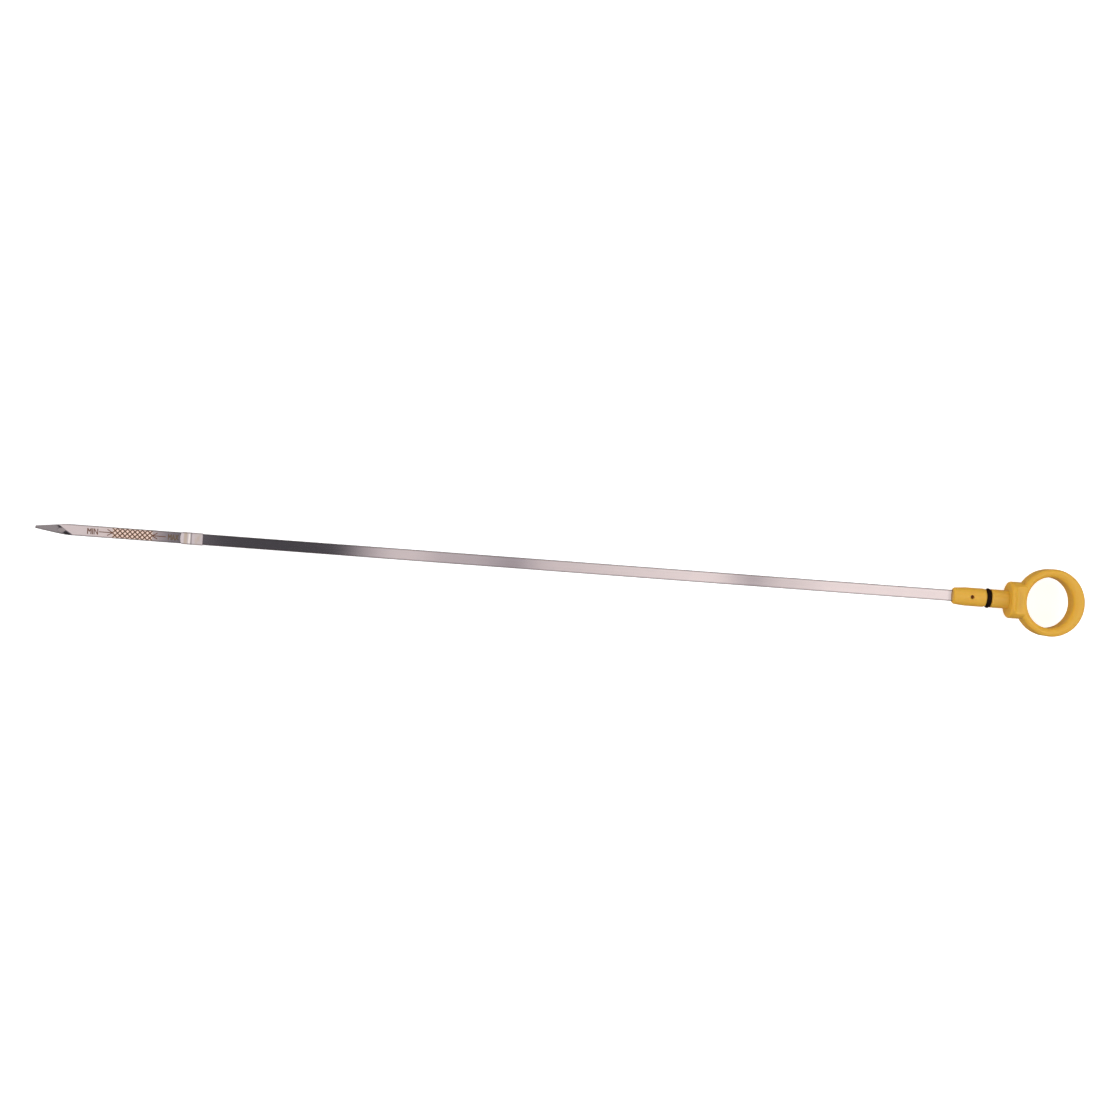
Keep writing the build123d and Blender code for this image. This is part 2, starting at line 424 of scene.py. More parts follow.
def painted_edge_shade(finish, along, across):
    """Mask of painted shade: 1 on the blade's two edges and 0 on its flat, with the point's taper on the
    near side.
    """
    on_point = TIP_HALF_WIDTH + POINT_TAPER * (along - BLADE_TIP)
    to_near_edge = finish.math("MINIMUM", on_point, HALF_WIDTH) + across
    to_edge = finish.math("MINIMUM", to_near_edge, HALF_WIDTH - across)
    return 1.0 - finish.ease(to_edge, *EDGE_SHADE_WIDTH)


# Middle and half sizes of the dull spot past the bend, along and across the blade, and the reach of its rim
SPOT_PLACE = (-426.3 * MM, -0.4 * MM)
SPOT_SIZE = (1.9 * MM, 1.15 * MM)
SPOT_RIM = (0.3, 1.7)


def dull_spot(finish, along, across, cloud):
    """1 in the dull spot past the bend, with a cloudy rim."""
    from_middle = (along - SPOT_PLACE[0]) * (1 / SPOT_SIZE[0])
    off_middle = (across - SPOT_PLACE[1]) * (1 / SPOT_SIZE[1])
    return 1.0 - finish.ease(from_middle * from_middle + off_middle * off_middle + 0.6 * cloud, *SPOT_RIM)


# How far before the stem's nose the painted shade on the blade begins, and is full
STEM_SHADE_START = 2.55 * MM
STEM_SHADE_FULL = 0.35 * MM


def blade_steel(colours, marks):
    """Bright rolled steel: lengthwise grain, slow waves, painted shade at the edges and by the stem, a warm
    tint from the marking.
    """
    finish = Finish("blade_steel", {})
    grain = finish.noise((30.0, 9000.0, 9000.0), detail=3.0)
    streak = finish.noise((14.0, 1600.0, 1600.0))
    cloud = finish.noise((160.0, 260.0, 260.0), detail=3.0)
    wave = finish.noise((22.0, 30.0, 30.0), detail=1.0)
    along = finish.axis("X")
    across = finish.axis("Y")
    marked = marked_field(finish, marks, along, across)
    steel = finish.blend(streak * 0.6 + cloud * 0.4, shade_of(colours.steel, 0.9), opaque(colours.steel))
    tint = marked * 0.75 + warm_run(finish, marks, along) * (0.1 + 0.15 * cloud)
    tinted = finish.blend(tint, steel, opaque(colours.heat_tint))
    burnt = marked * burnt_lines(finish, marks, along, across)
    etched = finish.blend(0.75 * burnt, tinted, opaque(colours.hatch))
    # painted shade on the blade just before the stem's nose
    stem_shade = finish.ease(along, STEM_NOSE - STEM_SHADE_START, STEM_NOSE - STEM_SHADE_FULL)
    # darker base colour where painted shade falls: on the blade's edges and just before the stem's nose
    dark = 0.5 * painted_edge_shade(finish, along, across) + 0.4 * stem_shade
    finish.set("Base Color", finish.blend(dark, etched, shade_of(colours.steel, 0.3)))
    finish.set("Metallic", 1.0 - 0.62 * marked)
    dull = dull_spot(finish, along, across, cloud)
    finish.set("Roughness", 0.04 + 0.04 * streak + 0.03 * grain + 0.3 * marked + 0.32 * dull)
    finish.relief(grain * 0.004 + streak * 0.01 + wave, 0.05 * MM)
    return finish.material


# Zones of the clip, by distances from its ring end, and the reach across the blade over which it folds down
CLIP_MOTTLING = (0.8 * MM, 3.4 * MM)
# painted shade in the crease beside the lip
CLIP_CREASE_SHADE = (4.7 * MM, 5.3 * MM)
# painted highlight band
CLIP_HIGHLIGHT = (5.55 * MM, 6.2 * MM)
# painted warm reflection, drawn as a tan stripe
CLIP_WARM_REFLECTION = (6.7 * MM, 8.2 * MM)
# painted shade along the clip's folded edges
CLIP_FOLD_SHADE = (1.95 * MM, 2.5 * MM)


def clip_steel(colours):
    """Satin pressed steel with mottling, painted shade in the crease and on the folded edges, a painted
    highlight band and a tan stripe of painted warm reflection.
    """
    finish = Finish("clip_steel", {})
    grain = finish.noise((6000.0, 500.0, 500.0), detail=3.0)
    cloud = finish.noise((700.0, 500.0, 500.0), detail=3.0)
    from_end = CLIP_END - finish.axis("X")
    # painted warm reflection: a tan stripe across the clip
    tan = finish.band(from_end, *CLIP_WARM_REFLECTION, 0.3 * MM)
    # painted highlight: a white band in place of a face tilted toward the light
    highlight = finish.band(from_end, *CLIP_HIGHLIGHT, 0.12 * MM)
    # painted shade in the crease
    crease = finish.band(from_end, *CLIP_CREASE_SHADE, 0.15 * MM)
    mottling = finish.band(from_end, *CLIP_MOTTLING, 0.6 * MM) * finish.ease(cloud, 0.3, 0.75)
    sheet = finish.blend(cloud, opaque(colours.clip), shade_of(colours.clip, 1.2))
    # tan from the painted warm reflection and from the real mottling
    stained = finish.blend(tan * (0.45 + 0.45 * cloud) + 0.6 * mottling, sheet, opaque(colours.clip_tan_and_reflection))
    # painted shade along the folded edges
    fold_shade = finish.ease(finish.math("ABSOLUTE", finish.axis("Y"), 0.0), *CLIP_FOLD_SHADE)
    highlighted = finish.blend(0.8 * highlight * (1.0 - fold_shade), stained, opaque(colours.clip_highlight))
    # painted shade from the crease and the folded edges darkens the base colour
    finish.set("Base Color", finish.blend(0.65 * crease + 0.45 * fold_shade, highlighted, opaque(colours.clip_shade)))
    finish.set("Metallic", 0.35 + 0.2 * cloud)
    finish.set("Roughness", 0.38 + 0.12 * cloud + 0.06 * grain)
    finish.relief(grain * 0.4 + cloud, 0.012 * MM)
    return finish.material


# Places along the blade between which the marking turns dull, past the high mark's arrow
MARK_DULLING = (-381.0 * MM, -377.0 * MM)


def mark_brown(name, colour, colour_at_high, fleck_colour):
    """Brown marking, uneven in depth and gloss, which may turn duller past the high mark's arrow."""
    finish = Finish(name, {"Specular IOR Level": 0.15})
    fleck = finish.noise((3500.0, 3500.0, 3500.0), detail=4.0)
    past_arrow = finish.ease(finish.axis("X"), *MARK_DULLING)
    brown = finish.blend(past_arrow, opaque(colour), opaque(colour_at_high))
    finish.set("Base Color", finish.blend(0.25 * fleck, brown, opaque(fleck_colour)))
    finish.set("Roughness", 0.35 + 0.25 * fleck)
    finish.relief(fleck, 0.006 * MM)
    return finish.material


def hatch_brown(colours):
    """Dark filling of the crosshatch."""
    return mark_brown("hatch_brown", colours.hatch, colours.hatch, colours.mark_fleck)


def word_brown(colours):
    """Brown of the arrows and words."""
    return mark_brown("mark_brown", colours.mark, colours.mark_dull, colours.mark_fleck)


# Place of the locating hole on the stem, its soft rim, and the heights between which painted light fills it,
# paler the deeper
HOLE_PLACE = -16.8 * MM
HOLE_RIM = (0.92 * MM, 0.98 * MM)
HOLE_LIGHT_HEIGHTS = (1.6 * MM, 3.7 * MM)
# Half width of the line where the mould's halves met
PARTING_HALF = 0.09 * MM


def handle_plastic(colours):
    """Satin moulded yellow: faint flow clouding, a fine moulded skin, the mould's parting line and painted
    light deep in the locating hole.
    """
    body = {"IOR": 1.49, "Specular IOR Level": 0.45}
    glow = {"Subsurface Weight": 0.2, "Subsurface Radius": (1.0, 0.35, 0.06), "Subsurface Scale": 1.2 * MM}
    finish = Finish("handle_plastic", {**body, **glow})
    flow = finish.noise((90.0, 140.0, 140.0), detail=3.0)
    skin = finish.noise((2600.0, 2600.0, 2600.0), detail=3.0)
    height = finish.axis("Z")
    parting = finish.ease(height, -PARTING_HALF, 0.0) * (1.0 - finish.ease(height, 0.0, PARTING_HALF))
    from_hole = finish.axis("X") - HOLE_PLACE
    off_hole = finish.axis("Y")
    rim_start, rim_end = HOLE_RIM
    in_hole = 1.0 - finish.ease(from_hole * from_hole + off_hole * off_hole, rim_start**2, rim_end**2)
    # painted light inside the locating hole, paler the deeper
    hole_painted_light = in_hole * (1.0 - finish.ease(height, *HOLE_LIGHT_HEIGHTS))
    skin_colour = finish.blend(flow, opaque(colours.plastic_deep), opaque(colours.plastic))
    finish.set("Base Color", finish.blend(hole_painted_light, skin_colour, opaque(colours.hole)))
    finish.set("Roughness", 0.26 + 0.12 * skin + 0.06 * flow)
    finish.relief(skin * 0.12 + flow * 0.3 + parting * 0.5, 0.05 * MM)
    return finish.material


def seal_rubber(colours):
    """Smooth black rubber with a faint bloom."""
    finish = Finish("seal_rubber", {"Specular IOR Level": 0.08})
    bloom = finish.noise((1500.0, 1500.0, 1500.0), detail=3.0)
    finish.set("Base Color", finish.blend(bloom, opaque(colours.rubber), shade_of(colours.rubber, 2.2)))
    finish.set("Roughness", 0.36 + 0.16 * bloom)
    finish.relief(bloom, 0.01 * MM)
    return finish.material


def floor_paper(colours, glow):
    """Matt white table top, lit a little from below, with a faint tooth."""
    lit = {"Emission Color": WHITE, "Emission Strength": glow}
    finish = Finish("floor_paper", {"Roughness": 0.9, "Specular IOR Level": 0.1, **lit})
    tooth = finish.noise((400.0, 400.0, 400.0), detail=4.0)
    finish.set("Base Color", finish.blend(tooth, shade_of(colours.floor, 0.985), opaque(colours.floor)))
    finish.relief(tooth, 0.02 * MM)
    return finish.material


def add_piece(name, mesh, material):
    """New piece that rides with the dipstick."""
    piece = bpy.data.objects.new(name, mesh)
    bpy.context.scene.collection.objects.link(piece)
    mesh.materials.clear()
    mesh.materials.append(material)
    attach(piece, BODY)
    return piece


# Corners closer than this are one corner
JOIN = 1e-7


def joined_body(mesh):
    """Editable copy of a mesh, with the corners that meet joined."""
    body = bmesh.new()
    body.from_mesh(mesh)
    bmesh.ops.remove_doubles(body, verts=body.verts, dist=JOIN)
    return body


def merged_copy(node, name, crease):
    """Copy of a node's mesh with its triangles joined, smooth but for creases sharper than an angle."""
    mesh = bpy.data.meshes.new(name)
    body = joined_body(frame["nodes"][node].data)
    bmesh.ops.recalc_face_normals(body, faces=body.faces)
    for face in body.faces:
        face.smooth = True
    for edge in body.edges:
        edge.smooth = edge.calc_face_angle(math.pi) < crease
    body.to_mesh(mesh)
    body.free()
    return plain_mesh(mesh, name, weigh_normals)


def weigh_normals(holder):
    """Let large faces set the shading, so that flats stay flat beside rounded edges."""
    weighted = holder.modifiers.new("weighted_normals", "WEIGHTED_NORMAL")
    weighted.keep_sharp = True


def plain_mesh(mesh, name, add_modifier):
    """The mesh that a modifier makes of a mesh, as a plain mesh."""
    holder = bpy.data.objects.new(name, mesh)
    bpy.context.scene.collection.objects.link(holder)
    add_modifier(holder)
    evaluated = holder.evaluated_get(bpy.context.evaluated_depsgraph_get())
    result = bpy.data.meshes.new_from_object(evaluated)
    bpy.data.objects.remove(holder)
    result.name = name
    return result


class DIPSTICK_OT_blade(bpy.types.Operator):
    """Finish the flat steel blade"""

    bl_idname = "dipstick.blade"
    bl_label = "Blade"

    def execute(self, context):
        scene = context.scene
        steel = blade_steel(scene.dipstick_colours, scene.dipstick_marks)
        crease = math.radians(30)
        blade = add_piece("blade_strip", merged_copy("blade", "blade_strip", crease), steel)
        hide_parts("blade")
        return {"FINISHED"}


class DIPSTICK_OT_guide_clip(bpy.types.Operator):
    """Finish the guide clip round the blade"""

    bl_idname = "dipstick.guide_clip"
    bl_label = "Guide clip"

    def execute(self, context):
        steel = clip_steel(context.scene.dipstick_colours)
        crease = math.radians(35)
        clip = add_piece("clip_sheet", merged_copy("guide_clip", "clip_sheet", crease), steel)
        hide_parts("guide_clip")
        return {"FINISHED"}


class DIPSTICK_OT_handle(bpy.types.Operator):
    """Finish the yellow handle"""

    bl_idname = "dipstick.handle"
    bl_label = "Handle"

    def execute(self, context):
        plastic = handle_plastic(context.scene.dipstick_colours)
        crease = math.radians(42)
        ring = merged_copy("handle", "ring_handle", crease)
        handle = add_piece("ring_handle", ring, plastic)
        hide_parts("handle")
        return {"FINISHED"}


class DIPSTICK_OT_seal_ring(bpy.types.Operator):
    """Finish the black seal ring"""

    bl_idname = "dipstick.seal_ring"
    bl_label = "Seal ring"

    def execute(self, context):
        rubber = seal_rubber(context.scene.dipstick_colours)
        crease = math.radians(40)
        seal = add_piece("seal_ring", merged_copy("o_ring", "seal_ring", crease), rubber)
        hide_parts("o_ring")
        return {"FINISHED"}


def flat_mesh(name, faces):
    """Mesh of flat faces given by their corners, joined where corners meet."""
    mesh = bpy.data.meshes.new(name)
    body = bmesh.new()
    for corners in faces:
        body.faces.new([body.verts.new((x, y, 0.0)) for x, y in corners])
    bmesh.ops.remove_doubles(body, verts=body.verts, dist=JOIN)
    body.to_mesh(mesh)
    body.free()
    return mesh


def cross_cell(length, height, width):
    """One cell of the crosshatch: two crossed lines of a width, cut off at the cell's edges."""
    diagonal = math.hypot(length, height)
    along_cut = width * diagonal / (2 * height)
    across_cut = width * diagonal / (2 * length)
    notches = [(along_cut, 0.0), (0.0, across_cut), (-along_cut, 0.0), (0.0, -across_cut)]
    faces = [notches]
    for x_side, y_side in ((1, 1), (-1, 1), (-1, -1), (1, -1)):
        x_edge = x_side * length / 2
        y_edge = y_side * height / 2
        arm = [
            (x_side * along_cut, 0.0),
            (x_edge, y_edge - y_side * across_cut),
            (x_edge, y_edge),
            (x_edge - x_side * along_cut, y_edge),
            (0.0, y_side * across_cut),
        ]
        faces.append(arm if x_side * y_side > 0 else arm[::-1])
    return flat_mesh("cross_cell", faces)


class LatticeTree:
    """Geometry node tree that repeats a cell over a grid and gives the result a thickness."""

    def __init__(self):
        self.tree = bpy.data.node_groups.new("hatch_lattice", "GeometryNodeTree")
        self.tree.interface.new_socket("Geometry", in_out="OUTPUT", socket_type="NodeSocketGeometry")
        self.identifiers = {}
        self.group_input = None

    def named_input(self, name, kind):
        """Add a named input to the tree."""
        socket = self.tree.interface.new_socket(name, in_out="INPUT", socket_type=kind)
        self.identifiers[name] = socket.identifier

    def size(self, name):
        """Socket that gives a named size."""
        if self.group_input is None:
            self.group_input = self.tree.nodes.new("NodeGroupInput")
        return self.group_input.outputs[name]

    def node(self, kind, settings, inputs, output=0):
        """Add a node: its settings first, then the values or links of its sockets, by name or number."""
        node = self.tree.nodes.new(kind)
        for name, setting in settings.items():
            setattr(node, name, setting)
        for name, value in inputs.items():
            socket = node.inputs[name]
            for source in value if isinstance(value, list) else [value]:
                if isinstance(source, bpy.types.NodeSocket):
                    self.tree.links.new(source, socket)
                else:
                    socket.default_value = source
        return None if output is None else node.outputs[output]

    def math(self, operation, first, second):
        """One Math node on two values."""
        return self.node("ShaderNodeMath", {"operation": operation}, {0: first, 1: second})


# Corners of neighbouring cells closer than this are one corner
CELL_JOIN = 0.001 * MM


def lattice_tree(material):
    """Tree that lays the crossed cells side by side, joins them and closes them to a thin solid."""
    lattice = LatticeTree()
    for name, kind in (
        ("Cell", "NodeSocketObject"),
        ("Columns", "NodeSocketInt"),
        ("Rows", "NodeSocketInt"),
        ("Cell length", "NodeSocketFloat"),
        ("Cell height", "NodeSocketFloat"),
        ("Thickness", "NodeSocketFloat"),
    ):
        lattice.named_input(name, kind)
    columns = lattice.size("Columns")
    rows = lattice.size("Rows")
    length = lattice.math("MULTIPLY", lattice.math("SUBTRACT", columns, 1.0), lattice.size("Cell length"))
    height = lattice.math("MULTIPLY", lattice.math("SUBTRACT", rows, 1.0), lattice.size("Cell height"))
    sizes = {"Size X": length, "Size Y": height, "Vertices X": columns, "Vertices Y": rows}
    grid = lattice.node("GeometryNodeMeshGrid", {}, sizes)
    cell = lattice.node("GeometryNodeObjectInfo", {}, {"Object": lattice.size("Cell")}, "Geometry")
    cells = lattice.node("GeometryNodeInstanceOnPoints", {}, {"Points": grid, "Instance": cell})
    plain = lattice.node("GeometryNodeRealizeInstances", {}, {"Geometry": cells})
    joined = lattice.node("GeometryNodeMergeByDistance", {}, {"Geometry": plain, "Distance": CELL_JOIN})
    extrude = {"Mesh": joined, "Offset Scale": lattice.size("Thickness"), "Individual": False}
    raised = lattice.node("GeometryNodeExtrudeMesh", {"mode": "FACES"}, extrude)
    back = lattice.node("GeometryNodeFlipFaces", {}, {"Mesh": joined})
    shell = lattice.node("GeometryNodeJoinGeometry", {}, {"Geometry": [raised, back]})
    closed = lattice.node("GeometryNodeMergeByDistance", {}, {"Geometry": shell, "Distance": CELL_JOIN})
    coated = lattice.node("GeometryNodeSetMaterial", {}, {"Geometry": closed, "Material": material})
    lattice.node("NodeGroupOutput", {}, {"Geometry": coated}, None)
    return lattice


def lattice_mesh(marks, material):
    """Filling of the crosshatch, one solid on the plane z = 0."""
    cross = cross_cell(marks.cell_length, marks.cell_height, marks.line_width)
    cell = bpy.data.objects.new("cross_cell", cross)
    bpy.context.scene.collection.objects.link(cell)
    lattice = lattice_tree(material)
    values = {
        "Cell": cell,
        "Columns": marks.hatch_columns,
        "Rows": marks.hatch_rows,
        "Cell length": marks.cell_length,
        "Cell height": marks.cell_height,
        "Thickness": marks.groove_depth * marks.groove_fill,
    }

    def repeat(holder):
        modifier = holder.modifiers.new("hatch_lattice", "NODES")
        modifier.node_group = lattice.tree
        for name, value in values.items():
            modifier[lattice.identifiers[name]] = value

    mesh = plain_mesh(bpy.data.meshes.new("hatch_base"), "hatch_filling", repeat)
    bpy.data.objects.remove(cell)
    if not mesh.polygons:
        raise RuntimeError("the crosshatch came out empty")
    return mesh


class DIPSTICK_OT_crosshatch(bpy.types.Operator):
    """Fill the engraved crosshatch between the level marks"""

    bl_idname = "dipstick.crosshatch"
    bl_label = "Crosshatch"

    def execute(self, context):
        marks = context.scene.dipstick_marks
        brown = hatch_brown(context.scene.dipstick_colours)
        mesh = lattice_mesh(marks, brown)
        middle = -marks.hatch_start - marks.hatch_columns * marks.cell_length / 2
        mesh.transform(LYING @ Matrix.Translation((middle, 0.0, FACE - marks.groove_depth)))
        add_piece("hatch_filling", mesh, brown)
        return {"FINISHED"}


def arrow_outline(marks):
    """Faces of an open arrow with its tip at the origin, pointing along +X."""
    half = marks.line_width / 2
    back = (-math.cos(marks.arrow_angle), math.sin(marks.arrow_angle))
    inward = (-back[1], back[0])
    outer_end = (marks.arrow_arm * back[0], marks.arrow_arm * back[1])
    inner_end = (outer_end[0] + marks.line_width * inward[0], outer_end[1] + marks.line_width * inward[1])
    fork = -(marks.line_width + half * math.cos(marks.arrow_angle)) / math.sin(marks.arrow_angle)
    upper = [(0.0, 0.0), outer_end, inner_end, (fork, half)]
    lower = [(x, -y) for x, y in upper[::-1]]
    shaft = [(fork, half), (-marks.arrow_length, half), (-marks.arrow_length, -half), (fork, -half)]
    return [upper, lower, [(0.0, 0.0), (fork, half), (fork, -half)], shaft]


def thickened(mesh, thickness):
    """Give a flat mesh a thickness upwards and close it."""
    body = joined_body(mesh)
    result = bmesh.ops.extrude_face_region(body, geom=body.faces[:], use_keep_orig=True)
    moved = [element for element in result["geom"] if isinstance(element, bmesh.types.BMVert)]
    bmesh.ops.translate(body, verts=moved, vec=(0.0, 0.0, thickness))
    bmesh.ops.recalc_face_normals(body, faces=body.faces)
    body.to_mesh(mesh)
    body.free()
    return mesh


def lay_mark(name, mesh, place, marks, material):
    """Put a flat mark on the blade's face, sunk as deep as it stands out."""
    thickened(mesh, 2 * marks.mark_height)
    mesh.transform(LYING @ Matrix.Translation((0.0, 0.0, FACE - marks.mark_height)) @ place)
    return add_piece(name, mesh, material)


class DIPSTICK_OT_arrows(bpy.types.Operator):
    """Draw the two level arrows, which point at the ends of the crosshatch"""

    bl_idname = "dipstick.arrows"
    bl_label = "Level arrows"

    def execute(self, context):
        marks = context.scene.dipstick_marks
        brown = word_brown(context.scene.dipstick_colours)
        low_end, high_end = hatch_ends(marks)
        turned = Matrix.Rotation(math.pi, 4, "Z")
        to_low_end = Matrix.Translation((low_end + marks.arrow_overlap, 0.0, 0.0))
        to_high_end = Matrix.Translation((high_end - marks.arrow_overlap, 0.0, 0.0)) @ turned
        for name, place in (("low_arrow", to_low_end), ("high_arrow", to_high_end)):
            lay_mark(name, flat_mesh(name, arrow_outline(marks)), place, marks, brown)
        return {"FINISHED"}


def word_mesh(name, word, length, height):
    """Flat mesh of a word, fitted to a length and a height about the origin."""
    text = bpy.data.curves.new(name, "FONT")
    text.body = word
    holder = bpy.data.objects.new(name, text)
    bpy.context.scene.collection.objects.link(holder)
    evaluated = holder.evaluated_get(bpy.context.evaluated_depsgraph_get())
    mesh = bpy.data.meshes.new_from_object(evaluated)
    bpy.data.objects.remove(holder)
    columns = [vertex.co.x for vertex in mesh.vertices]
    lines = [vertex.co.y for vertex in mesh.vertices]
    centre = Vector(((min(columns) + max(columns)) / 2, (min(lines) + max(lines)) / 2, 0.0))
    stretch = (length / (max(columns) - min(columns)), height / (max(lines) - min(lines)), 1.0)
    mesh.transform(Matrix.Diagonal((*stretch, 1.0)) @ Matrix.Translation(-centre))
    return mesh


# Smallest divisor of a mitre, so that a sharp corner isn't drawn out into a spike
SHARPEST_MITRE = 0.4


def bolder(mesh, margin):
    """Widen a flat mesh all round, each corner moved out along its mitre."""
    body = joined_body(mesh)
    moves = {}
    for vertex in body.verts:
        outward = []
        for edge in vertex.link_edges:
            if edge.is_boundary:
                run = (edge.verts[1].co - edge.verts[0].co).normalized()
                normal = Vector((run.y, -run.x, 0.0))
                inside = edge.link_faces[0].calc_center_median() - edge.verts[0].co
                outward.append(-normal if normal.dot(inside) > 0 else normal)
        if len(outward) == 2:
            first, second = outward
            moves[vertex] = (first + second) * (margin / max(SHARPEST_MITRE, 1 + first.dot(second)))
    for vertex, move in moves.items():
        vertex.co += move
    body.to_mesh(mesh)
    body.free()
    return mesh


class DIPSTICK_OT_words(bpy.types.Operator):
    """Letter the two level marks"""

    bl_idname = "dipstick.words"
    bl_label = "Level words"

    def execute(self, context):
        marks = context.scene.dipstick_marks
        brown = word_brown(context.scene.dipstick_colours)
        words = (
            ("low_word", marks.low_word, marks.low_word_start, marks.low_word_length),
            ("high_word", marks.high_word, marks.high_word_start, marks.high_word_length),
        )
        margin = marks.letter_margin
        for name, word, start, length in words:
            place = Matrix.Translation((-start - length / 2, 0.0, 0.0))
            letters = word_mesh(name, word, length - 2 * margin, marks.letter_height - 2 * margin)
            lay_mark(name, bolder(letters, margin), place, marks, brown)
        return {"FINISHED"}


class Cloth(NamedTuple):
    """Cloth under the softbox: where it begins, is full, thins out and ends, and the share it lets through.

    Its places are distances from the seat, in millimetres, at which a level blade would mirror them. The
    dipstick's blade lies pitched, and mirrors them about 8 mm nearer to the seat.
    """

    begin: float
    full: float
    thinning: float
    end: float
    share_through: float

    def lets_through(self, distance):
        """Share of the light that comes through at a distance."""
        coming = (distance - self.begin) / (self.full - self.begin)
        going = (self.end - distance) / (self.end - self.thinning)
        cover = max(0.0, min(1.0, coming, going))
        return 1 - (1 - self.share_through) * cover


SOFTBOX_CLOTHS = (
    Cloth(86, 101, 108, 116, 0.83),
    Cloth(107, 121, 121, 138, 0.47),
    Cloth(140, 206, 240, 480, 0.785),
    Cloth(213, 229, 229, 246, 0.553),
    Cloth(224, 244, 261, 272, 0.76),
    Cloth(285, 306, 386, 399, 0.26),
    Cloth(292, 312, 360, 388, 0.36),
)

# How the softbox changes away from its middle line, in metres: the cloths are drawn aside, the darkest is
# shaded, and the long sides are an even grey
CLOTH_SLANT = 0.03
SLANT_REACH = (0.04, 0.12)
SHADE_SHARE = 0.7
SHADE_REACH = (0.05, 0.16)
SHADE_EDGE = 0.02
SIDE_REACH = (0.22, 0.31)


def softbox_place(stage, along):
    """Place of the softbox that a place along a level blade mirrors."""
    spread = 1 + stage.softbox_height / stage.camera_height
    return stage.aim_along + (along - stage.aim_along) * spread


def softbox_brightness(stage, distance):
    """Brightness at a distance from the seat in millimetres: the open softbox through its cloths."""
    share = distance * MM / -stage.softbox_tip_end
    bare = stage.softbox_level + (stage.softbox_tip_level - stage.softbox_level) * share
    return bare * math.prod(cloth.lets_through(distance) for cloth in SOFTBOX_CLOTHS)


def cool_grey(level):
    """Colour of a brightness, the cooler the darker it is."""
    dark = 1 - min(level, 1.0)
    return level, level * (1 + 0.1 * dark**4), level * (1 + 0.3 * dark**2)


def lamp_finish(name, strength):
    """Black finish that shines with the emission colour it is given."""
    return Finish(name, {"Base Color": BLACK, "Specular IOR Level": 0.0, "Emission Strength": strength})


def softbox_light(stage, start, end):
    """Light of the softbox, graded between its ends by the cloths."""
    finish = lamp_finish("softbox_light", 1.0)
    places = finish.object_places()
    along = finish.axis("X", places)
    off_middle = finish.math("ABSOLUTE", finish.axis("Y", places), 0.0)
    slanted = along + CLOTH_SLANT * finish.ease(off_middle, *SLANT_REACH)
    run = {"Value": slanted, "From Min": start, "From Max": end}
    share = finish.node("ShaderNodeMapRange", {}, run, "Result")
    distances = {0}
    for cloth in SOFTBOX_CLOTHS:
        distances.update((cloth.begin, cloth.full, cloth.thinning, cloth.end))
    stops = []
    for distance in sorted(distances, reverse=True):
        position = (softbox_place(stage, -distance * MM) - start) / (end - start)
        stops.append((position, cool_grey(softbox_brightness(stage, distance))))
    grading = finish.node("ShaderNodeValToRGB", {"stops": stops}, {"Fac": share}, "Color")
    darkest = min(SOFTBOX_CLOTHS, key=lambda cloth: cloth.share_through)
    cloth_ends = [softbox_place(stage, -distance * MM) for distance in (darkest.end, darkest.begin)]
    under_cloth = finish.band(along, *cloth_ends, SHADE_EDGE)
    beside = SHADE_SHARE * under_cloth * finish.ease(off_middle, *SHADE_REACH)
    shaded = finish.blend(beside, grading, opaque(stage.softbox_shade))
    side = finish.ease(off_middle, *SIDE_REACH)
    finish.set("Emission Color", finish.blend(side, shaded, opaque(stage.softbox_side)))
    return finish.material


def card_light(stage):
    """Light of the cards, paler from their foot to the middle of their height."""
    finish = lamp_finish("card_light", stage.card_level)
    height = finish.axis("Z", finish.object_places())
    paler = finish.ease(height, 0.0, stage.wall_height / 2)
    finish.set("Emission Color", finish.blend(paler, opaque(stage.card_foot), WHITE))
    return finish.material


def square_light(scene, name, place, width, power):
    """Square light that shines straight down."""
    light = bpy.data.lights.new(name, "AREA")
    light.shape = "SQUARE"
    light.size = width
    light.energy = power
    lamp = bpy.data.objects.new(name, light)
    lamp.location = place
    lamp.visible_glossy = False
    scene.collection.objects.link(lamp)
    return lamp


def stage_piece(scene, name, mesh, material):
    """Piece of the stage, which doesn't belong to the dipstick."""
    piece = bpy.data.objects.new(name, mesh)
    scene.collection.objects.link(piece)
    mesh.materials.append(material)
    return piece


def level_plane(name, half_x, half_y, centre):
    """Flat mesh that faces up."""
    mesh = flat_mesh(name, [[(-half_x, -half_y), (half_x, -half_y), (half_x, half_y), (-half_x, half_y)]])
    mesh.transform(Matrix.Translation(centre))
    return mesh


def four_walls(name, half, height):
    """Mesh of four walls that stand on the floor and face the dipstick."""
    mesh = bpy.data.meshes.new(name)
    body = bmesh.new()
    bmesh.ops.create_cube(body, size=1.0)
    lids = [face for face in body.faces if abs(face.normal.z) > 0.5]
    bmesh.ops.delete(body, geom=lids, context="FACES_ONLY")
    bmesh.ops.reverse_faces(body, faces=body.faces)
    body.to_mesh(mesh)
    body.free()
    stretch = Matrix.Diagonal((2 * half, 2 * half, height, 1.0))
    mesh.transform(Matrix.Translation((0.0, 0.0, FLOOR + height / 2)) @ stretch)
    return mesh


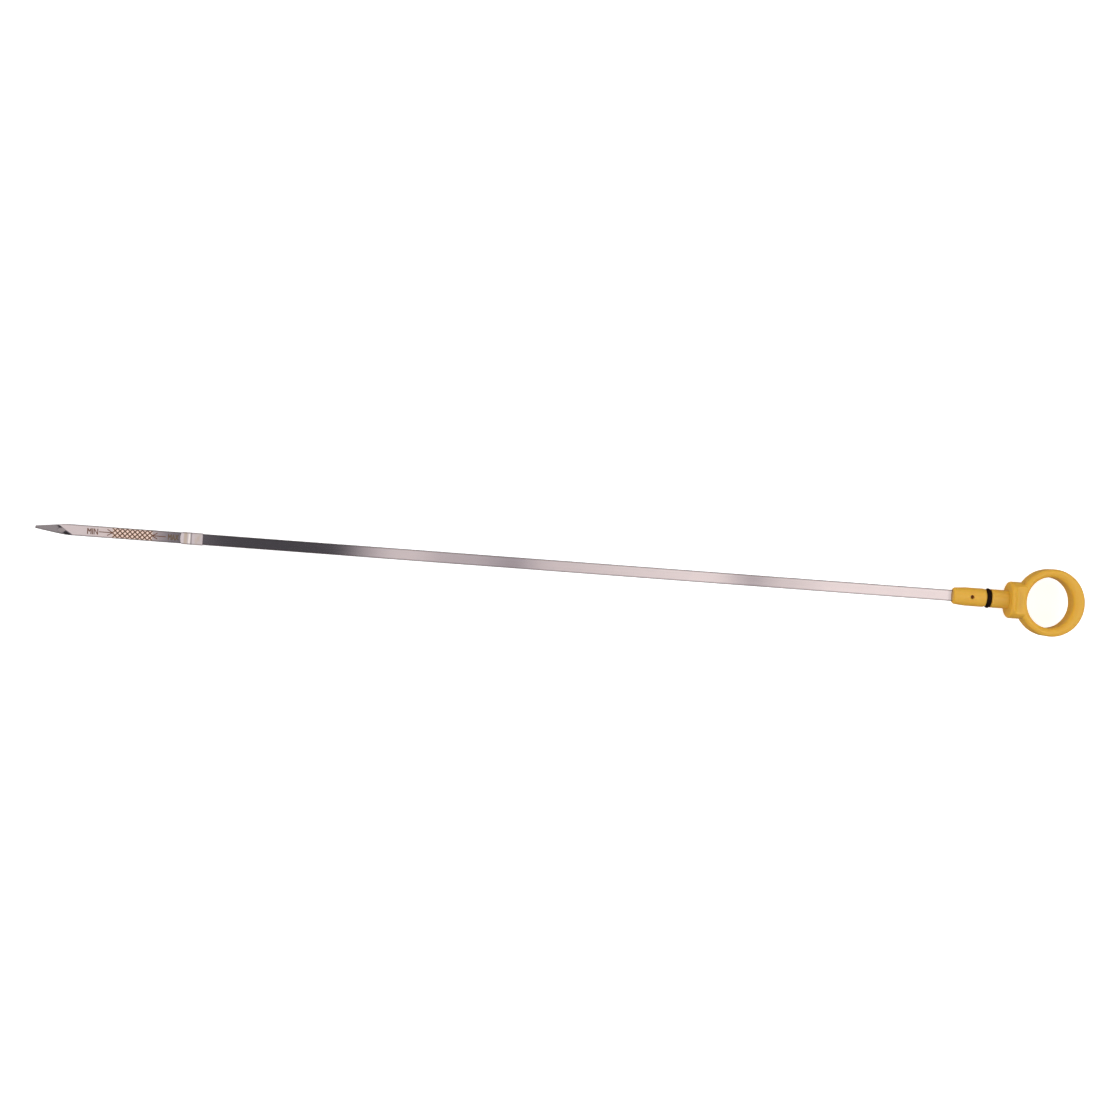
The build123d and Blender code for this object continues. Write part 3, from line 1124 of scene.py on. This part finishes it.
class DIPSTICK_OT_stage(bpy.types.Operator):
    """Set the floor, the studio lights and the camera"""

    bl_idname = "dipstick.stage"
    bl_label = "Stage"

    def execute(self, context):
        scene = context.scene
        stage = scene.dipstick_stage
        self.floor(scene, stage)
        self.cards(scene, stage)
        self.softbox(scene, stage)
        self.room(scene, stage)
        self.fill(scene, stage)
        self.side_lights(scene, stage)
        self.bounce(scene, stage)
        self.camera(scene, stage)
        scene.view_settings.view_transform = "Standard"
        return {"FINISHED"}

    def floor(self, scene, stage):
        """White floor and white walls far round it, which throw no light or shade on the dipstick."""
        paper = floor_paper(scene.dipstick_colours, stage.floor_glow)
        half = stage.floor_length / 2
        floor = level_plane("floor", half, half, (0.0, 0.0, FLOOR))
        walls = four_walls("walls", half, stage.wall_height)
        for mesh in (floor, walls):
            piece = stage_piece(scene, mesh.name, mesh, paper)
            piece.visible_diffuse = False
            piece.visible_glossy = False
            piece.visible_shadow = False

    def cards(self, scene, stage):
        """Grey cards round the dipstick that only show in its gloss."""
        walls = four_walls("cards", stage.card_distance, stage.wall_height)
        cards = stage_piece(scene, "cards", walls, card_light(stage))
        cards.visible_camera = False
        cards.visible_diffuse = False
        cards.visible_shadow = False

    def softbox(self, scene, stage):
        """Overhead softbox whose grading the blade mirrors."""
        start = softbox_place(stage, stage.softbox_tip_end)
        end = softbox_place(stage, stage.softbox_ring_end)
        centre = ((start + end) / 2, 0.0, FACE + stage.softbox_height)
        panel = level_plane("softbox", (end - start) / 2, stage.softbox_width / 2, centre)
        softbox = stage_piece(scene, "softbox", panel, softbox_light(stage, start, end))
        softbox.visible_camera = False

    def fill(self, scene, stage):
        """Soft light from above that the gloss doesn't show."""
        place = (stage.aim_along, 0.0, stage.fill_height)
        square_light(scene, "fill_light", place, stage.fill_width, stage.fill_power)

    def bounce(self, scene, stage):
        """Warm light from the floor under the handle."""
        just_over_floor = (0.0, 0.0, FLOOR + 0.1 * MM)
        bounce = square_light(scene, "floor_bounce", just_over_floor, stage.bounce_width, stage.bounce_power)
        bounce.rotation_euler = (math.pi, 0.0, 0.0)
        bounce.data.color = stage.bounce_colour
        bounce.visible_camera = False

    def side_lights(self, scene, stage):
        """Soft light from four sides, strongest from the tip's side."""
        for quarter, level in enumerate(stage.side_levels):
            light = bpy.data.lights.new("side_light", "SUN")
            light.energy = level
            light.angle = stage.side_spread
            lamp = bpy.data.objects.new("side_light", light)
            lamp.rotation_euler = (0.0, stage.side_elevation - math.pi / 2, quarter * math.pi / 2)
            lamp.visible_glossy = False
            scene.collection.objects.link(lamp)

    def room(self, scene, stage):
        """Even light from all round."""
        world = bpy.data.worlds.new("room")
        world.use_nodes = True
        background = world.node_tree.nodes["Background"]
        background.inputs["Color"].default_value = WHITE
        background.inputs["Strength"].default_value = stage.room_level
        scene.world = world

    def camera(self, scene, stage):
        """Camera square over the blade's face."""
        lens = bpy.data.cameras.new("camera")
        lens.lens = stage.lens
        camera = bpy.data.objects.new("camera", lens)
        stand = Matrix.Translation((stage.aim_along, stage.aim_across, FACE + stage.camera_height))
        camera.matrix_world = LYING @ stand @ Matrix.Rotation(stage.camera_roll, 4, "Z")
        scene.collection.objects.link(camera)
        scene.camera = camera


OPERATORS = (
    DIPSTICK_OT_blade,
    DIPSTICK_OT_guide_clip,
    DIPSTICK_OT_handle,
    DIPSTICK_OT_seal_ring,
    DIPSTICK_OT_crosshatch,
    DIPSTICK_OT_arrows,
    DIPSTICK_OT_words,
    DIPSTICK_OT_stage,
)


class DIPSTICK_PT_panel(bpy.types.Panel):
    """Sidebar list of the dipstick's pieces"""

    bl_idname = "DIPSTICK_PT_panel"
    bl_label = "Oil dipstick"
    bl_space_type = "VIEW_3D"
    bl_region_type = "UI"
    bl_category = "Dipstick"

    def draw(self, context):
        for operator in OPERATORS:
            self.layout.operator(operator.bl_idname)


CLASSES = (MarkSizes, FinishColours, StageSizes, *OPERATORS, DIPSTICK_PT_panel)
SETTINGS = {"dipstick_marks": MarkSizes, "dipstick_colours": FinishColours, "dipstick_stage": StageSizes}


def register():
    for cls in CLASSES:
        bpy.utils.register_class(cls)
    for name, group in SETTINGS.items():
        setattr(bpy.types.Scene, name, PointerProperty(type=group))


def unregister():
    for name in SETTINGS:
        delattr(bpy.types.Scene, name)
    for cls in reversed(CLASSES):
        bpy.utils.unregister_class(cls)


def main():
    register()
    for operator in OPERATORS:
        group, name = operator.bl_idname.split(".")
        getattr(getattr(bpy.ops, group), name)()


if __name__ == "__main__":
    main()
